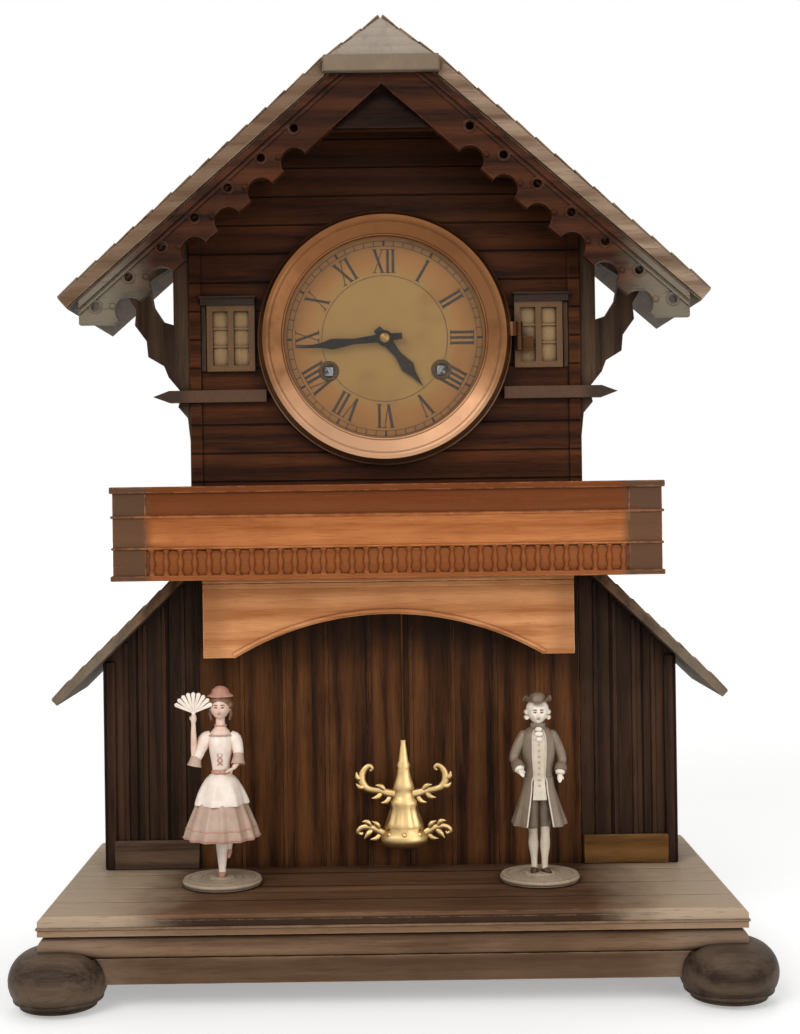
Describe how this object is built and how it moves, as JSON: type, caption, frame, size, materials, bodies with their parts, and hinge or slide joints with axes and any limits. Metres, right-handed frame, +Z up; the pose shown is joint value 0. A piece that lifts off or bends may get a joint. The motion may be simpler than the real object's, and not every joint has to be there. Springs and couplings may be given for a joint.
{
  "type": "automaton clock",
  "caption": "Chalet-shaped mantel clock with a steep clipped-gable roof, a round dial, an arched porch with a pendulum, and two dancers that turn on the stage.",
  "frame": {"origin": "middle of the base, on the surface that the feet stand on", "axes": "+X to the right seen from the front, +Y to the back, +Z up"},
  "size_m": [0.356, 0.196, 0.468],
  "materials": {
    "base_wood": "waxed, worn",
    "foot_wood": "waxed, worn",
    "stage_wood": "waxed, worn",
    "porch_wood": "waxed, worn",
    "room_wood": "waxed, worn",
    "arch_wood": "waxed, worn",
    "balcony_wood": "waxed, worn",
    "wall_wood": "waxed, worn",
    "roof_wood": "waxed, worn",
    "barge_wood": "waxed, worn",
    "bracket_wood": "waxed, worn",
    "back_wood": "waxed, worn",
    "hip_paint": "old pale paint",
    "cream_paint": "old cream paint",
    "pane": "painted",
    "dial_paint": "aged",
    "bezel_copper": "worn copper",
    "glass": "clear",
    "brass": "aged",
    "gilt": "gilt casting",
    "steel": "polished",
    "blued_steel": "blued",
    "iron": "black lacquer",
    "lady_bisque": "bisque",
    "gentleman_bisque": "bisque",
    "disc_paint": "painted"
  },
  "bodies": {
    "root": {"bun_feet": "foot_wood", "plinth_rails": "base_wood", "stage_board": "stage_wood", "base_cover": "back_wood", "porch_wall": "porch_wood", "side_room_fronts": "room_wood", "side_room_walls": "room_wood", "lean_to_roofs": "roof_wood", "arch_board": "arch_wood", "case_floor": "wall_wood", "balcony_rails": "balcony_wood", "front_board": "wall_wood", "side_walls": "wall_wood", "back_panels": "back_wood", "window_frames": "cream_paint", "window_panes": "pane", "string_courses": "cream_paint", "roof_panels": "roof_wood", "roof_hip": "hip_paint", "bargeboards": "barge_wood", "eave_brackets": "bracket_wood", "dial_plate": "dial_paint", "movement_plates": "brass", "plate_pillars": "brass", "mainsprings": "blued_steel", "suspension_cock": "brass", "gong_coil": "blued_steel", "gong_stand": "iron", "case_screws": "brass", "door_hinges": "brass", "gear_studs": "steel"},
    "bezel_door": {"bezel_ring": "bezel_copper", "bezel_glass": "glass"},
    "rear_door": {"back_door": "back_wood"},
    "rear_catch": {"door_catch": "brass"},
    "minute_arbor": {"minute_hand": "blued_steel", "centre_wheel": "brass"},
    "hour_pipe": {"hour_hand": "blued_steel", "hour_wheel": "brass"},
    "motion_wheel": {"minute_wheel": "brass"},
    "time_barrel": {"time_great_wheel": "brass"},
    "time_winder": {"time_winding_arbor": "steel"},
    "third_arbor": {"third_wheel": "brass"},
    "escape_arbor": {"escape_wheel": "brass"},
    "anchor_arbor": {"anchor": "steel"},
    "pendulum": {"pendulum_rod": "brass", "pendulum_bob": "gilt"},
    "strike_barrel": {"strike_great_wheel": "brass"},
    "strike_winder": {"strike_winding_arbor": "steel"},
    "strike_arbor": {"strike_wheel": "brass"},
    "strike_pinion_arbor": {"strike_pinion_wheel": "brass"},
    "fly_arbor": {"strike_fly": "brass"},
    "hammer_arbor": {"strike_hammer": "steel"},
    "dance_shaft": {"drive_shaft": "steel"},
    "left_idler": {"left_idler_gear": "brass"},
    "right_idler": {"right_idler_gear": "brass"},
    "left_dance_table": {"left_turntable": "disc_paint", "lady_dancer": "lady_bisque"},
    "right_dance_table": {"right_turntable": "disc_paint", "gentleman_dancer": "gentleman_bisque"}
  },
  "joints": [
    {"name": "bezel_swing", "type": "hinge", "parent": "root", "child": "bezel_door", "pos_m": [0.067, -0.016, 0.314], "axis": [0, 0, 1], "range_deg": [0, 90]},
    {"name": "back_door_swing", "type": "hinge", "parent": "root", "child": "rear_door", "pos_m": [0.071, 0.0772, 0.2925], "axis": [0, 0, -1], "range_deg": [0, 110]},
    {"name": "catch_turn", "type": "hinge", "parent": "root", "child": "rear_catch", "pos_m": [-0.078, 0.076, 0.2925], "axis": [0, 1, 0], "range_deg": [0, 90]},
    {"name": "minute_turn", "type": "hinge", "parent": "root", "child": "minute_arbor", "pos_m": [0, 0.01, 0.314], "axis": [0, 1, 0], "continuous": true},
    {"name": "hour_turn", "type": "hinge", "parent": "root", "child": "hour_pipe", "pos_m": [0, 0, 0.314], "axis": [0, 1, 0], "continuous": true},
    {"name": "motion_turn", "type": "hinge", "parent": "root", "child": "motion_wheel", "pos_m": [-0.01128, 0.006, 0.3099], "axis": [0, 1, 0], "continuous": true},
    {"name": "time_barrel_turn", "type": "hinge", "parent": "root", "child": "time_barrel", "pos_m": [0.0282, 0.012, 0.298], "axis": [0, 1, 0], "continuous": true},
    {"name": "time_winding", "type": "hinge", "parent": "time_barrel", "child": "time_winder", "pos_m": [0.0282, 0.02, 0.298], "axis": [0, 1, 0], "continuous": true},
    {"name": "third_turn", "type": "hinge", "parent": "root", "child": "third_arbor", "pos_m": [0.02049, 0.02, 0.32706], "axis": [0, 1, 0], "continuous": true},
    {"name": "escape_turn", "type": "hinge", "parent": "root", "child": "escape_arbor", "pos_m": [0.0065, 0.03, 0.34499], "axis": [0, 1, 0], "continuous": true},
    {"name": "pendulum_swing", "type": "hinge", "parent": "root", "child": "pendulum", "pos_m": [0.0065, 0.0015, 0.3585], "axis": [0, 1, 0], "range_deg": [-3, 3]},
    {"name": "anchor_swing", "type": "hinge", "parent": "root", "child": "anchor_arbor", "pos_m": [0.0065, 0.02, 0.3585], "axis": [0, 1, 0], "range_deg": [-3, 3]},
    {"name": "strike_turn", "type": "hinge", "parent": "root", "child": "strike_arbor", "pos_m": [0, 0.02, 0.282], "axis": [0, 1, 0], "continuous": true},
    {"name": "strike_barrel_turn", "type": "hinge", "parent": "root", "child": "strike_barrel", "pos_m": [-0.0282, 0.02, 0.298], "axis": [0, 1, 0], "continuous": true},
    {"name": "strike_winding", "type": "hinge", "parent": "strike_barrel", "child": "strike_winder", "pos_m": [-0.0282, 0.02, 0.298], "axis": [0, 1, 0], "continuous": true},
    {"name": "strike_pinion_turn", "type": "hinge", "parent": "root", "child": "strike_pinion_arbor", "pos_m": [-0.01442, 0.02, 0.27191], "axis": [0, 1, 0], "continuous": true},
    {"name": "fly_turn", "type": "hinge", "parent": "root", "child": "fly_arbor", "pos_m": [-0.02757, 0.03, 0.26712], "axis": [0, 1, 0], "continuous": true},
    {"name": "hammer_lift", "type": "hinge", "parent": "root", "child": "hammer_arbor", "pos_m": [0.044, 0.04, 0.272], "axis": [0, 1, 0], "range_deg": [-25, 0], "stiffness_Nm_per_rad": 0.002},
    {"name": "dance_shaft_turn", "type": "hinge", "parent": "root", "child": "dance_shaft", "pos_m": [0, 0.0472, 0.1], "axis": [0, 0, 1], "continuous": true},
    {"name": "left_idler_turn", "type": "hinge", "parent": "root", "child": "left_idler", "pos_m": [-0.03713, 0.01661, 0.028], "axis": [0, 0, 1], "continuous": true},
    {"name": "right_idler_turn", "type": "hinge", "parent": "root", "child": "right_idler", "pos_m": [0.04573, 0.03226, 0.028], "axis": [0, 0, 1], "continuous": true},
    {"name": "lady_turn", "type": "hinge", "parent": "root", "child": "left_dance_table", "pos_m": [-0.084, -0.022, 0.046], "axis": [0, 0, 1], "continuous": true},
    {"name": "gentleman_turn", "type": "hinge", "parent": "root", "child": "right_dance_table", "pos_m": [0.073, -0.022, 0.046], "axis": [0, 0, 1], "continuous": true}
  ],
  "couplings": [
    {"joint": "hour_turn", "follows": "minute_turn", "ratio": 0.083333},
    {"joint": "motion_turn", "follows": "minute_turn", "ratio": -0.33333},
    {"joint": "time_barrel_turn", "follows": "minute_turn", "ratio": -0.2},
    {"joint": "third_turn", "follows": "minute_turn", "ratio": -8},
    {"joint": "escape_turn", "follows": "minute_turn", "ratio": 96},
    {"joint": "anchor_swing", "follows": "pendulum_swing", "ratio": 1},
    {"joint": "strike_barrel_turn", "follows": "strike_turn", "ratio": -0.2},
    {"joint": "strike_pinion_turn", "follows": "strike_turn", "ratio": -7},
    {"joint": "fly_turn", "follows": "strike_turn", "ratio": 42},
    {"joint": "dance_shaft_turn", "follows": "strike_turn", "ratio": -1},
    {"joint": "left_idler_turn", "follows": "strike_turn", "ratio": 0.74286},
    {"joint": "right_idler_turn", "follows": "strike_turn", "ratio": 0.74286},
    {"joint": "lady_turn", "follows": "strike_turn", "ratio": -0.61905},
    {"joint": "gentleman_turn", "follows": "strike_turn", "ratio": -0.61905}
  ]
}
